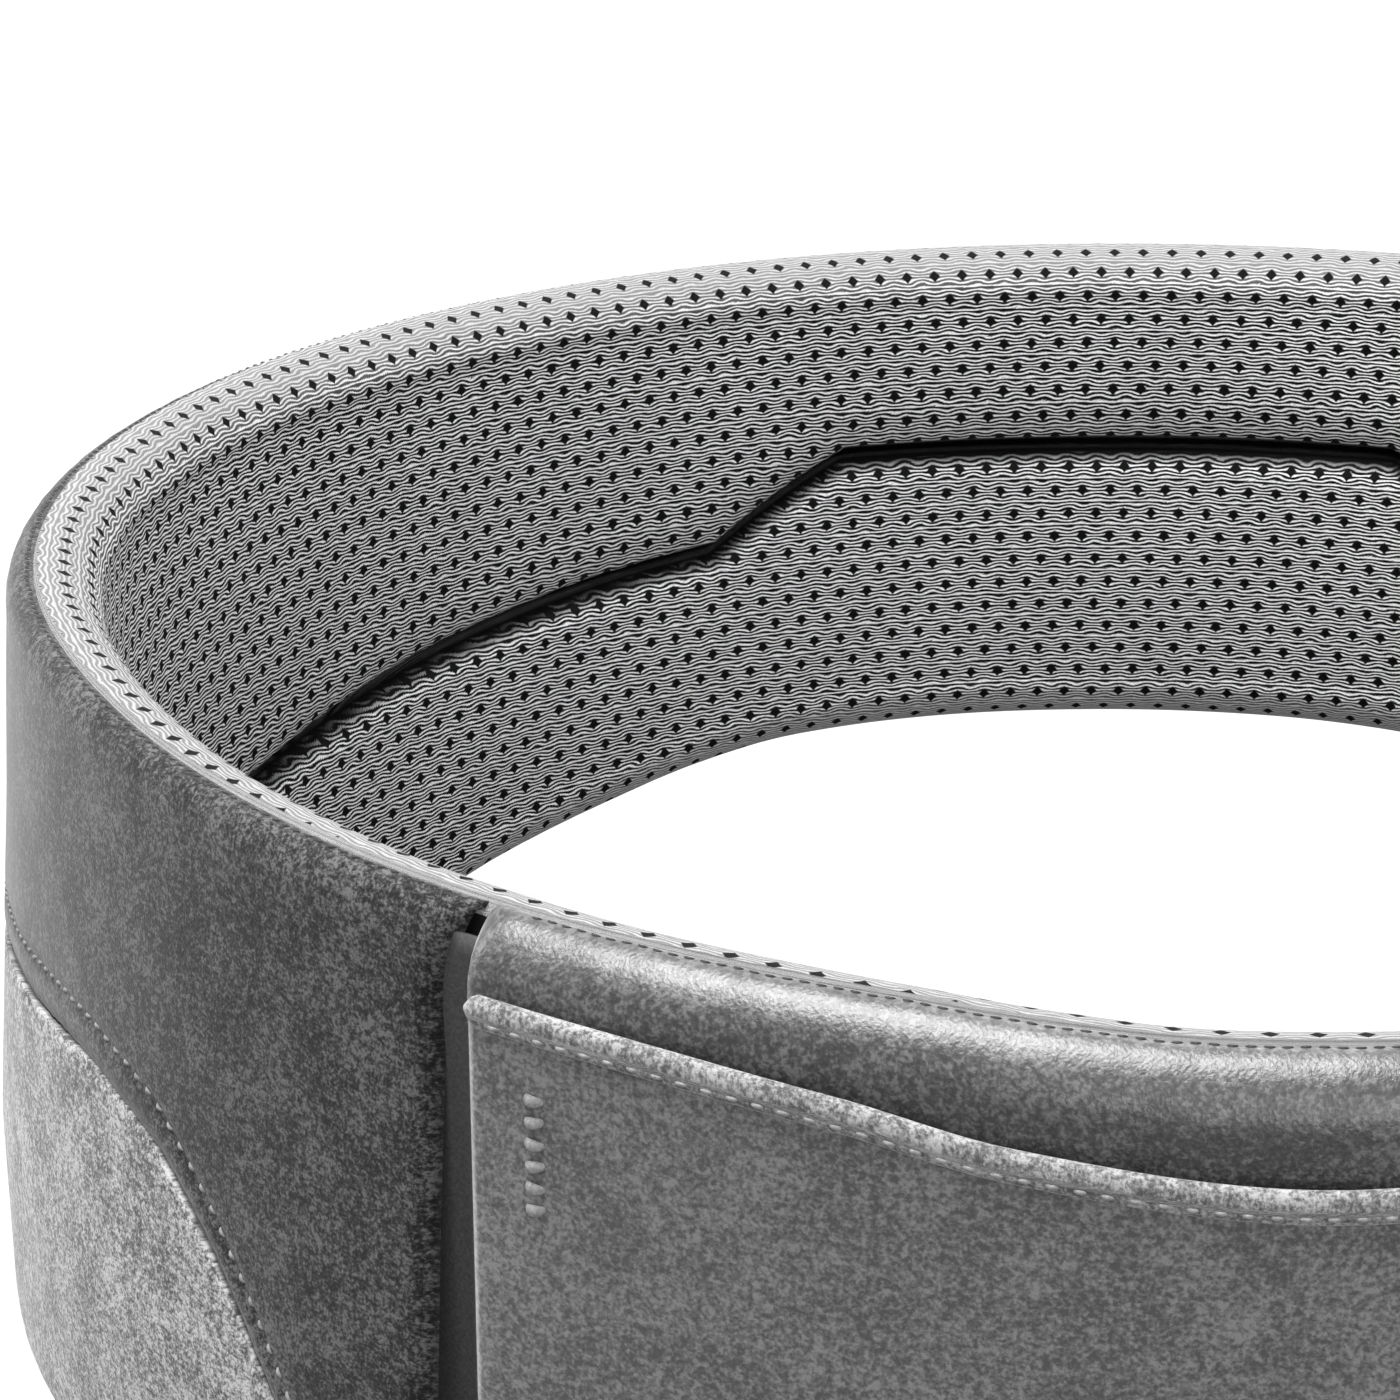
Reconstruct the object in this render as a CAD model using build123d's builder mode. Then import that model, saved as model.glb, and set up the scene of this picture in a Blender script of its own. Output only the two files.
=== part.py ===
"""Padded waist belt: a mesh-lined ring of foam with a fabric shell, a front pocket and a side-release buckle."""

import os
from math import atan2, cos, degrees, hypot, radians, sin

from build123d import *

# ---------------------------------------------------------------- driving dimensions, mm and degrees
WAIST_RADIUS = 150.0  # inner face of the mesh lining
WALL = 15.0  # padded wall, lining to shell
BELT_HEIGHT = 107.0  # at the sides
BACK_ARCH = 21.9  # how far the bottom edge rises at the back
FRONT_DROP = 10.2  # how far the top edge falls at the front
GROOVE_WIDTH = 1.2  # seam between the upper and the lower pillow
CLOTH = 2.0  # folded lining or shell, with its seam allowance
LAYER_GAP = 0.2  # clear space between sewn layers
ACCENT_GAP = 0.4  # seam above an accent panel
SEAM_RADIUS = 158.6  # where lining and shell meet on the rim's crest

# Angles run anticlockwise from +X, seen from above: 90 is the back, 270 the front.
FRONT = 270.0
MOUTH_HALF = 34.5  # front panel's half angle
LEFT_MOUTH = FRONT - MOUTH_HALF
RIGHT_MOUTH = FRONT + MOUTH_HALF  # the belt opens here
END_GAP = 0.4  # half of the slit, in degrees
BINDING = 0.6  # thickness of an end binding, in degrees
BACK_START, BACK_END = 50.0, 130.0  # seams of the back shell

OUTER = WAIST_RADIUS + WALL
LINING_OUT = WAIST_RADIUS + CLOTH
SHELL_IN = OUTER - CLOTH
FOAM_OUT = 160.6
FRONT_OUT = OUTER + 1.0  # the front panel is puffier than the wings
SIDE_REACH = OUTER + 12.0  # half length of every side profile

# Webbing and buckle
WEBBING_WIDTH = 25.0
WEBBING_THICK = 1.3
STRAP_Z = 46.0  # middle of the webbing
BUCKLE_ANGLE = RIGHT_MOUTH + 24.5  # middle of the buckle
BUCKLE_BASE = 167.2  # underside of the socket, from the belt's axis
SOCKET_MOUTH = -12.0
SOCKET_LENGTH = 44.0
SOCKET_WIDTH = 35.0
SOCKET_THICK = 9.6
SOCKET_WALL = 1.8
PRONG_ROOT = -12.6
PRONG_LOW, PRONG_THICK = 2.9, 3.8

BELT_START = RIGHT_MOUTH + END_GAP + BINDING + 0.1
BELT_SWEEP = 360.0 - 2 * (END_GAP + BINDING + 0.1)
BELT_END = BELT_START + BELT_SWEEP


# ---------------------------------------------------------------- edges of the belt, in the side view (y, z)
def bottom_edge(inset=0.0):
    """The lower rim: flat at the front and sides, arched up at the back."""
    flat = Line((-SIDE_REACH, inset), (58.0, inset))
    arch = [(116.0, 9.9), (140.0, 18.0), (SEAM_RADIUS, BACK_ARCH), (SIDE_REACH, BACK_ARCH + 2.6)]
    rise = Spline(flat @ 1, *[(y, z + inset) for y, z in arch], tangents=[(1, 0), (1, 0.1)])
    return [flat, rise]


def top_edge(inset=0.0):
    """The upper rim: flat at the back and sides, lower at the front."""
    top = BELT_HEIGHT - inset
    flat = Line((SIDE_REACH, top), (-50.0, top))
    fall = [(-105.0, 3.2), (-136.0, 6.2), (-SEAM_RADIUS, FRONT_DROP), (-SIDE_REACH, FRONT_DROP + 5.0)]
    drop = Spline(flat @ 1, *[(y, top - z) for y, z in fall], tangents=[(-1, 0), (-1, -0.3)])
    return [flat, drop]


def groove_edge(offset=0.0):
    """The seam between the pillows: high across the back, one step down, then falling to the front."""
    level = [(-SIDE_REACH, 36.0), (0.0, 39.5), (62.0, 44.6), (133.5, 58.6), (142.7, 73.0), (SIDE_REACH, 73.0)]
    return [Polyline(*[(y, z + offset) for y, z in level])]


def side_view(lower, upper):
    """A closed side profile between a lower and an upper edge, each given as a function with its offset."""
    with BuildSketch(Plane.YZ) as profile:
        with BuildLine():
            low = lower[0](lower[1])
            high = upper[0](upper[1])
            ends = [low[0] @ 0, low[-1] @ 1]
            tops = [curve @ end for curve in high for end in (0, 1)]
            left_top = min(tops, key=lambda point: point.X)
            right_top = max(tops, key=lambda point: point.X)
            Line(ends[0], left_top)
            Line(ends[1], right_top)
        make_face()
    return profile.sketch


def sector(inner, outer, start, end):
    """A flat ring sector about the belt's axis."""
    with BuildSketch() as plan:
        with BuildLine():
            outside = CenterArc((0, 0), outer, start, end - start)
            inside = CenterArc((0, 0), inner, start, end - start)
            Line(outside @ 0, inside @ 0)
            Line(outside @ 1, inside @ 1)
        make_face()
    return plan.sketch


def band(inner, outer, start, end, lower=(bottom_edge, 0.0), upper=(top_edge, 0.0)):
    """A curved wall: a ring sector trimmed to the belt's edges in the side view."""
    plan = sector(inner, outer, start, end)
    side = side_view(lower, upper)
    with BuildPart() as wall:
        extrude(plan, amount=BELT_HEIGHT)
        extrude(side, amount=SIDE_REACH, both=True, mode=Mode.INTERSECT)
    return wall.part


def hooped(outer, start, end):
    """A shell panel: its outer wall, with the flanges that roll over the rims to the crest seam."""
    skin = band(SEAM_RADIUS + 0.1, outer, start, end)
    core = band(SEAM_RADIUS - 5.0, outer - CLOTH, start - 5, end + 5, (bottom_edge, CLOTH), (top_edge, CLOTH))
    with BuildPart() as panel:
        add(skin)
        add(core, mode=Mode.SUBTRACT)
    return panel.part


def save(piece, name):
    """Label a finished piece and write it to its own STEP file."""
    piece.part.label = name
    export_step(piece.part, f"parts/{name}.step")


def at_angle(radius, angle):
    """A point of the plan at a radius and an angle."""
    return (radius * cos(radians(angle)), radius * sin(radians(angle)))


os.makedirs("parts", exist_ok=True)

# ---------------------------------------------------------------- mesh lining, two pillows
half_groove = GROOVE_WIDTH / 2
upper_block = band(WAIST_RADIUS, SEAM_RADIUS, BELT_START, BELT_END, lower=(groove_edge, half_groove))
upper_core = band(LINING_OUT, SEAM_RADIUS + 5, BELT_START - 0.3, BELT_END + 0.3, upper=(top_edge, CLOTH))
with BuildPart() as lining_upper:
    add(upper_block)
    add(upper_core, mode=Mode.SUBTRACT)
save(lining_upper, "lining_upper")

lower_block = band(WAIST_RADIUS, SEAM_RADIUS, BELT_START, BELT_END, upper=(groove_edge, -half_groove))
lower_core = band(LINING_OUT, SEAM_RADIUS + 5, BELT_START - 0.3, BELT_END + 0.3, lower=(bottom_edge, CLOTH))
with BuildPart() as lining_lower:
    add(lower_block)
    add(lower_core, mode=Mode.SUBTRACT)
save(lining_lower, "lining_lower")

# ---------------------------------------------------------------- foam and stiffener inside the wall
foam_in = LINING_OUT + LAYER_GAP
foam_edge = CLOTH + 0.3
foam_groove = half_groove + 1.0
with BuildPart() as foam_upper:
    add(band(foam_in, FOAM_OUT, BELT_START, BELT_END, (groove_edge, foam_groove), (top_edge, foam_edge)))
save(foam_upper, "foam_upper")

with BuildPart() as foam_lower:
    add(band(foam_in, FOAM_OUT, BELT_START, BELT_END, (bottom_edge, foam_edge), (groove_edge, -foam_groove)))
save(foam_lower, "foam_lower")

with BuildPart() as lumbar_stiffener:
    add(band(FOAM_OUT + 0.3, FOAM_OUT + 1.8, 38.0, 142.0, (bottom_edge, 14.0), (top_edge, 14.0)))
save(lumbar_stiffener, "lumbar_stiffener")

# ---------------------------------------------------------------- outer shell: back, wings and their accent panels
with BuildPart() as shell_back:
    add(hooped(OUTER, BACK_START + 0.1, BACK_END - 0.1))
save(shell_back, "shell_back")


def accent_side(lift=0.0):
    """The side view of an accent panel: a long low curve over each hip."""
    crest_points = [(-135, -5), (-120, 30), (-108, 49), (-98, 57), (-82, 60.4), (-60, 59), (0, 52), (60, 40), (104, -5)]
    with BuildSketch(Plane.YZ) as accent:
        with BuildLine():
            crest = Spline(*[(y, z + lift) for y, z in crest_points])
            Polyline(crest @ 1, (104, -8), (-135, -8), crest @ 0)
        make_face()
    return accent.sketch


wings = {
    "left": (BACK_END + 0.1, LEFT_MOUTH - 0.3),
    "right": (BELT_START - 360.0, BACK_START - 0.1),
}
for side, (start, end) in wings.items():
    wing = hooped(OUTER, start, end)
    with BuildPart() as shell_wing:
        add(wing)
        extrude(accent_side(ACCENT_GAP), amount=SIDE_REACH, both=True, mode=Mode.SUBTRACT)
    save(shell_wing, f"shell_{side}")
    with BuildPart() as accent:
        add(wing)
        extrude(accent_side(), amount=SIDE_REACH, both=True, mode=Mode.INTERSECT)
    save(accent, f"accent_{side}")

# ---------------------------------------------------------------- front panel and its pocket
front_start, front_end = LEFT_MOUTH + 0.8, RIGHT_MOUTH - END_GAP - BINDING - 0.1
with BuildPart() as front_cover:
    add(hooped(FRONT_OUT, front_start, front_end))
save(front_cover, "front_cover")

front_pad_in, front_pad_out = FOAM_OUT + 0.4, FRONT_OUT - CLOTH - LAYER_GAP
with BuildPart() as front_foam:
    add(band(front_pad_in, front_pad_out, front_start + 0.5, front_end - 0.5,
             (bottom_edge, foam_edge), (top_edge, foam_edge)))
save(front_foam, "front_foam")

POCKET_HALF = 32.5
POCKET_IN = FRONT_OUT + 1.8
POCKET_OUT = POCKET_IN + 1.2
POCKET_BOTTOM = 9.0
HEM_HEIGHT = 3.6
GUSSET = 3.0  # width of the sewn gusset, in degrees


def pocket_mouth(lift=0.0):
    """The pocket's upper edge in the front view (x, z): level at the sides, dipped in the middle."""
    half = [(32, 87.6), (50, 91.2), (77, 94.2), (105, 95.4)]
    line = [(-x, z) for x, z in reversed(half)] + [(0, 84.6)] + half
    return Spline(*[(x, z + lift) for x, z in line])


def front_view(low_lift, high_lift):
    """A front-view strip: below it the pocket's bottom or another mouth line, above it a mouth line."""
    with BuildSketch(Plane.XZ) as strip:
        with BuildLine():
            high = pocket_mouth(high_lift)
            if low_lift is None:
                low = Line((-105, POCKET_BOTTOM), (105, POCKET_BOTTOM))
            else:
                low = pocket_mouth(low_lift)
            Line(low @ 0, high @ 0)
            Line(low @ 1, high @ 1)
        make_face()
    return strip.sketch


def pocket_piece(inner, outer, half, strip):
    """A curved pocket layer, trimmed in the front view."""
    with BuildPart() as layer:
        extrude(sector(inner, outer, FRONT - half, FRONT + half), amount=BELT_HEIGHT)
        extrude(strip, amount=SIDE_REACH + 10, mode=Mode.INTERSECT)
    return layer.part


panel_strip = front_view(None, -HEM_HEIGHT - 0.1)
with BuildPart() as pocket_panel:
    add(pocket_piece(POCKET_IN, POCKET_OUT, POCKET_HALF, panel_strip))
save(pocket_panel, "pocket_panel")

with BuildPart() as pocket_hem:
    add(pocket_piece(POCKET_IN - 0.4, POCKET_OUT + 0.4, POCKET_HALF, front_view(-HEM_HEIGHT, 0.0)))
save(pocket_hem, "pocket_hem")

gusset_block = pocket_piece(FRONT_OUT + 0.1, POCKET_IN - 0.1, POCKET_HALF, front_view(None, -HEM_HEIGHT - 0.6))
gusset_void = sector(FRONT_OUT - 1, POCKET_OUT, FRONT - POCKET_HALF + GUSSET, FRONT + POCKET_HALF - GUSSET)
with BuildPart() as pocket_gusset:
    add(gusset_block)
    with BuildSketch(Plane.XY.offset(POCKET_BOTTOM + 8.0)):
        add(gusset_void)
    extrude(amount=BELT_HEIGHT, mode=Mode.SUBTRACT)
save(pocket_gusset, "pocket_gusset")

TACK_HEIGHT, TACK_THICK, TACK_INSET = 14.0, 0.8, 2.7
tack_plan = [sector(POCKET_OUT + 0.05, POCKET_OUT + 0.05 + TACK_THICK, angle - 0.45, angle + 0.45)
             for angle in (FRONT - POCKET_HALF + TACK_INSET, FRONT + POCKET_HALF - TACK_INSET)]
with BuildPart() as bar_tacks:
    with BuildSketch(Plane.XY.offset(70.0)):
        add(tack_plan)
    extrude(amount=TACK_HEIGHT)
save(bar_tacks, "bar_tacks")

# ---------------------------------------------------------------- bound ends at the slit
slit_sides = {
    "end_binding_wing": (RIGHT_MOUTH + END_GAP, RIGHT_MOUTH + END_GAP + BINDING),
    "end_binding_front": (RIGHT_MOUTH - END_GAP - BINDING, RIGHT_MOUTH - END_GAP),
}
for name, (start, end) in slit_sides.items():
    with BuildPart() as end_binding:
        add(band(WAIST_RADIUS, OUTER, start, end))
    save(end_binding, name)

# ---------------------------------------------------------------- webbing, lying round the right wing
strap_low = STRAP_Z - WEBBING_WIDTH / 2
strap_base = Plane.XY.offset(strap_low)
strap_in = OUTER + 0.4
strap_out = strap_in + WEBBING_THICK
buckle_axis = at_angle(BUCKLE_BASE, BUCKLE_ANGLE)
buckle_out = Vector(*at_angle(1, BUCKLE_ANGLE))
buckle_along = Vector(*at_angle(1, BUCKLE_ANGLE + 90))


def beside(along, out):
    """A plan point beside the buckle: along the webbing, and out from the socket's underside."""
    point = Vector(*buckle_axis) + buckle_along * along + buckle_out * out
    return (point.X, point.Y)


with BuildPart() as webbing_front:
    with BuildSketch(strap_base):
        add(sector(strap_in, strap_out, RIGHT_MOUTH + 0.6, BUCKLE_ANGLE - 7.0))
    extrude(amount=WEBBING_WIDTH)
save(webbing_front, "webbing_front")

tail_rise = [beside(-24, 8.1), beside(-24, 9.4), beside(-35, 9.4), beside(-50.4, -6.0),
             beside(-49.4, -7.1), beside(-34.4, 8.1)]
with BuildPart() as webbing_tail:
    with BuildSketch(strap_base):
        Polygon(*tail_rise, align=None)
        add(sector(strap_out + 0.4, strap_out + 0.4 + WEBBING_THICK, BUCKLE_ANGLE - 19.2, BUCKLE_ANGLE - 17.0))
    extrude(amount=WEBBING_WIDTH)
save(webbing_tail, "webbing_tail")

loop_outside = [beside(27.4, 0.6), beside(27.4, 9.2), beside(33.6, 9.2), beside(50, -6.6),
                beside(49, -8.9), beside(33.6, 0.6)]
loop_inside = [beside(28.7, 1.9), beside(28.7, 7.9), beside(33.0, 7.9), beside(42.5, -1.2),
               beside(41.5, -2.9), beside(33.3, 1.9)]
with BuildPart() as webbing_rear:
    with BuildSketch(strap_base):
        Polygon(*loop_outside, align=None)
        Polygon(*loop_inside, align=None, mode=Mode.SUBTRACT)
        add(sector(strap_in, strap_in + 2 * WEBBING_THICK + 0.1, BUCKLE_ANGLE + 16.9, BUCKLE_ANGLE + 24.5))
    extrude(amount=WEBBING_WIDTH)
save(webbing_rear, "webbing_rear")

patch_in = strap_in + 2 * WEBBING_THICK + 0.3
with BuildPart() as anchor_patch:
    with BuildSketch(Plane.XY.offset(strap_low - 3)):
        add(sector(patch_in, patch_in + 1.2, BUCKLE_ANGLE + 18.2, BUCKLE_ANGLE + 25.5))
    extrude(amount=WEBBING_WIDTH + 6)
save(anchor_patch, "anchor_patch")

# ---------------------------------------------------------------- side-release buckle
buckle_plane = Plane(
    origin=(*buckle_axis, STRAP_Z),
    x_dir=(buckle_along.X, buckle_along.Y, 0),
    z_dir=(buckle_out.X, buckle_out.Y, 0),
)
socket_end = SOCKET_MOUTH + SOCKET_LENGTH
cavity_end = 16.0
window_end = 9.5

with BuildPart() as buckle_socket:
    with BuildSketch(buckle_plane):
        with Locations(((SOCKET_MOUTH + socket_end) / 2, 0)):
            RectangleRounded(SOCKET_LENGTH, SOCKET_WIDTH, 5.0)
    extrude(amount=SOCKET_THICK)
    rims = buckle_socket.faces().filter_by(lambda face: abs(face.normal_at().dot(buckle_out)) > 0.99)
    fillet(rims.edges(), radius=1.4)
    with BuildSketch(buckle_plane.offset(SOCKET_WALL)):
        with Locations(((SOCKET_MOUTH - 1 + cavity_end) / 2, 0)):
            Rectangle(cavity_end - SOCKET_MOUTH + 1, 28.0)
        with Locations(((SOCKET_MOUTH - 1 + window_end) / 2, 0)):
            Rectangle(window_end - SOCKET_MOUTH + 1, SOCKET_WIDTH + 4)
    extrude(amount=SOCKET_THICK - 2 * SOCKET_WALL, mode=Mode.SUBTRACT)
    with BuildSketch(buckle_plane):
        with Locations((27.25, 0)):
            Rectangle(3.7, WEBBING_WIDTH + 1.5)
    extrude(amount=SOCKET_THICK, mode=Mode.SUBTRACT)
    bar_trim = SOCKET_WALL + 0.4
    for low in (0.0, SOCKET_THICK - bar_trim):
        with BuildSketch(buckle_plane.offset(low)):
            with Locations((31.0, 0)):
                Rectangle(4.0, WEBBING_WIDTH + 1.5)
        extrude(amount=bar_trim, mode=Mode.SUBTRACT)
save(buckle_socket, "buckle_socket")

PLUG_START, PLUG_END = -34.0, -13.4
with BuildPart() as buckle_plug:
    with BuildSketch(buckle_plane.offset(SOCKET_WALL)):
        with Locations(((PLUG_START + PLUG_END) / 2, 0)):
            RectangleRounded(PLUG_END - PLUG_START, SOCKET_WIDTH - 1.0, 3.0)
    extrude(amount=SOCKET_THICK - 2 * SOCKET_WALL)
    plug_rims = buckle_plug.faces().filter_by(lambda face: abs(face.normal_at().dot(buckle_out)) > 0.99)
    fillet(plug_rims.edges(), radius=1.2)
    with BuildSketch(buckle_plane):
        with Locations((-29.0, 0), (-22.0, 0)):
            Rectangle(3.6, WEBBING_WIDTH + 1.5)
    extrude(amount=SOCKET_THICK, mode=Mode.SUBTRACT)
    with BuildSketch(buckle_plane.offset(PRONG_LOW)):
        with BuildLine():
            Polyline((PLUG_END - 1, -3.4), (9.0, -2.6), (12.0, 0), (9.0, 2.6), (PLUG_END - 1, 3.4), close=True)
        make_face()
    extrude(amount=PRONG_THICK)
save(buckle_plug, "buckle_plug")

prong_outline = [(PRONG_ROOT, 7.6), (PRONG_ROOT, 11.2), (-5.0, 12.2), (-1.0, 16.9), (6.8, 15.6), (8.6, 13.0),
                 (4.5, 11.2), (-4.0, 8.8)]
for name, side in (("prong_upper", 1), ("prong_lower", -1)):
    with BuildPart() as prong:
        with BuildSketch(buckle_plane.offset(PRONG_LOW)):
            with BuildLine():
                Polyline(*[(along, side * up) for along, up in prong_outline], close=True)
            make_face()
        extrude(amount=PRONG_THICK)
        corners = prong.edges().filter_by(lambda edge: abs(edge.tangent_at(0).dot(buckle_out)) > 0.99)
        fillet(corners.sort_by(lambda edge: (edge.center() - Vector(*buckle_axis, STRAP_Z)).dot(buckle_along))[2:],
               radius=1.0)
    save(prong, name)
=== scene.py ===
"""Looks of the padded waist belt: mesh pillows, heather shell, puffy front, pocket, webbing and buckle."""

import math

import bpy
import numpy as np
from mathutils import Euler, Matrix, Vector


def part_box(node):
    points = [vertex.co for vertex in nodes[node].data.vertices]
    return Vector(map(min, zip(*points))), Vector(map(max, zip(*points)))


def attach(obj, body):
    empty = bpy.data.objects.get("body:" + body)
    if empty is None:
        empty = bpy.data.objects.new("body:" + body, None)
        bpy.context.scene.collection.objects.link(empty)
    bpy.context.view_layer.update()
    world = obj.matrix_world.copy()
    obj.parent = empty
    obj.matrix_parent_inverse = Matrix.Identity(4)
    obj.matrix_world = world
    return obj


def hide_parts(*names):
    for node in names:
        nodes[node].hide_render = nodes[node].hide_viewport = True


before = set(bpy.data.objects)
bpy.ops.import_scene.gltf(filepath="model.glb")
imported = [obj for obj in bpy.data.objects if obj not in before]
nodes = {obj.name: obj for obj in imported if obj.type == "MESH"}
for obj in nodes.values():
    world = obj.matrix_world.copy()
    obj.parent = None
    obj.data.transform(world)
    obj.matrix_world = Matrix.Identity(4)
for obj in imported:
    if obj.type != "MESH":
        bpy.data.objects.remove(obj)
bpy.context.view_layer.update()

# ---------------------------------------------------------------- driving sizes, in millimetres and degrees
MM = 0.001
WAIST = 150.0  # inner face of the mesh
SEAM = 158.4  # crest seam between lining and shell
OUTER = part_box("shell_back")[1].y / MM  # outer face of the shell
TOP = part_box("lining_upper")[1].z / MM  # rim height at the back and the sides
PILLOW_BACK = 160.4  # hidden back of the pillows
RIM = 7.8  # radius of the rolled rims
FLARE = 2.2  # how far the wall leans out at its foot and in at its top
EDGE_RUN = 1.45  # length of cloth over a rolled edge, for each millimetre of the edge's radius
CLOTH = 0.9  # thickness of the shell's cloth
FRONT = 270.0  # bearing of the middle of the front
MOUTH_HALF = 34.5  # half the width of the front between the wings
LEFT_MOUTH = FRONT - MOUTH_HALF
RIGHT_MOUTH = FRONT + MOUTH_HALF
BACK_START, BACK_END = 50.0, 130.0  # seams between the back and the wings

PITCH = 4.8  # between the mesh's holes, along a row
ROW = 4.13  # between rows of holes
UPPER_ROW, LOWER_ROW = 87.4, 44.2  # heights of a row of holes in each pillow
HOLE_COLUMN = -1.8  # a column of holes lies here, from the middle of the back
ALONG, ACROSS = 6, 4  # mesh steps for each pitch and for each row
PIT = 1.3  # depth of a hole
UPPER_GROOVE, LOWER_GROOVE = (9.0, 6.0), (4.5, 4.8)  # width and depth of each pillow's roll into the groove
OVERHANG = 0.9  # how far the upper pillow hangs over the groove
CROWN = 0.9  # how much a pillow's middle stands out from its edges
PILLOW_SWELL, SHELL_SWELL = 0.35, 0.3  # size of the uneven swell of the padding


def smooth_curve(points):
    """A function through points (x, y): smooth cubic pieces that never overshoot, with level ends."""
    xs, ys = np.array(points, float).T
    rise = np.diff(ys) / np.diff(xs)
    slopes = np.zeros(len(xs))
    for i in range(1, len(xs) - 1):
        if rise[i - 1] * rise[i] > 0:
            slopes[i] = 2 * rise[i - 1] * rise[i] / (rise[i - 1] + rise[i])

    def value(x):
        x = np.clip(np.asarray(x, float), xs[0], xs[-1])
        i = np.clip(np.searchsorted(xs, x) - 1, 0, len(xs) - 2)
        span = xs[i + 1] - xs[i]
        t = (x - xs[i]) / span
        return (
            (2 * t**3 - 3 * t**2 + 1) * ys[i] + (t**3 - 2 * t**2 + t) * span * slopes[i]
            + (3 * t**2 - 2 * t**3) * ys[i + 1] + (t**3 - t**2) * span * slopes[i + 1]
        )

    return value


# Heights of the belt's edges, by the place y of the wall in the side view
bottom_at = smooth_curve([
    (-160, 0), (50, 0), (82, 2.5), (109.5, 9.9), (122.6, 14.0),
    (132.7, 18.1), (140.3, 20.6), (150, 21.8), (160, 21.9),
])
top_at = smooth_curve([
    (-160, TOP - 10.6), (-150, TOP - 10.2), (-148, TOP - 9.2), (-144, TOP - 7.6), (-136, TOP - 6.4),
    (-122, TOP - 5.1), (-95, TOP - 2.8), (-50, TOP), (160, TOP),
])


def groove_at(y):
    """Height of the seam between the pillows: level across the back, a step, then a fall to the front."""
    return np.interp(y, [-180, 0, 62, 133.5, 142.7, 180], [36.0, 39.5, 44.6, 58.6, 73.0, 73.0])


def side_y(angle, radius=WAIST):
    """Place y, in the side view, of a point of the ring."""
    return radius * np.sin(np.radians(angle))


def arc_length(angle, radius):
    """Length in mm of an angle in degrees along a circle."""
    return angle * math.pi / 180 * radius


def ramp(x, low, high):
    """0 below low, 1 above high, smooth between."""
    t = np.clip((x - low) / (high - low), 0, 1)
    return t * t * (3 - 2 * t)


def ripple(angle, height, seed=0.0):
    """A gentle uneven swell of soft padding, between about -1 and 1, periodic round the ring."""
    a = np.radians(angle)
    return (
        0.5 * np.sin(7 * a + height * 0.05 + seed) + 0.3 * np.sin(17 * a - height * 0.09 + 2 * seed)
        + 0.2 * np.sin(31 * a + height * 0.16 + 5 * seed)
    )


def puckers(angle, near, seed=0.0):
    """Small puckers that fade away from a seam; near is 1 on the seam."""
    a = np.radians(angle)
    return near * (0.6 * np.sin(97 * a + seed) + 0.4 * np.sin(163 * a + 2.3 * seed))


# ---------------------------------------------------------------- mesh building
def across_rows(columns, rows):
    """Each column's angle, repeated for all of its rows."""
    return np.repeat(columns[:, None], rows, 1)


def ring_points(angle, radius, height):
    """Points, in metres, from the ring's own coordinates."""
    a = np.radians(angle)
    return np.stack([radius * np.cos(a), radius * np.sin(a), height + 0 * a], -1) * MM


def make_object(name, points, faces, attributes=(), face_materials=None):
    """A mesh object from points and faces, with point attributes of three numbers."""
    mesh = bpy.data.meshes.new(name)
    mesh.from_pydata(points, [], faces)
    for key, values in attributes:
        layer = mesh.attributes.new(key, "FLOAT_VECTOR", "POINT")
        layer.data.foreach_set("vector", np.asarray(values, np.float32).ravel())
    if face_materials is not None:
        mesh.polygons.foreach_set("material_index", np.asarray(face_materials, np.int32))
    mesh.polygons.foreach_set("use_smooth", np.ones(len(mesh.polygons), bool))
    mesh.update()
    piece = bpy.data.objects.new(name, mesh)
    bpy.context.scene.collection.objects.link(piece)
    return piece


def grid_faces(index, flip=False, close_rows=False):
    """Quads over a grid of vertex numbers; a quad that has collapsed to a line is left out."""
    if close_rows:
        index = np.concatenate([index, index[:, :1]], 1)
    a, b, c, d = index[:-1, :-1], index[1:, :-1], index[1:, 1:], index[:-1, 1:]
    corners = [a, d, c, b] if flip else [a, b, c, d]
    faces = []
    for quad in np.stack([x.ravel() for x in corners], 1).tolist():
        kept = [v for i, v in enumerate(quad) if v != quad[i - 1]]
        if len(set(kept)) >= 3:
            faces.append(kept)
    return faces


def surface(name, angle, radius, height, cloth, flip=False):
    """A sheet from grids of angle, radius and height; cloth holds its flat coordinates in mm."""
    points = ring_points(angle, radius, height).reshape(-1, 3)
    index = np.arange(points.shape[0]).reshape(angle.shape)
    flat = np.stack([cloth[0].ravel(), cloth[1].ravel(), 0 * cloth[0].ravel()], 1)
    return make_object(name, points.tolist(), grid_faces(index, flip), [("cloth", flat)])


def thicken(piece, thickness):
    """Gives a sheet of cloth its thickness, inwards."""
    solid = piece.modifiers.new("thickness", "SOLIDIFY")
    solid.thickness = thickness * MM
    solid.offset = -1
    return piece


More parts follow.
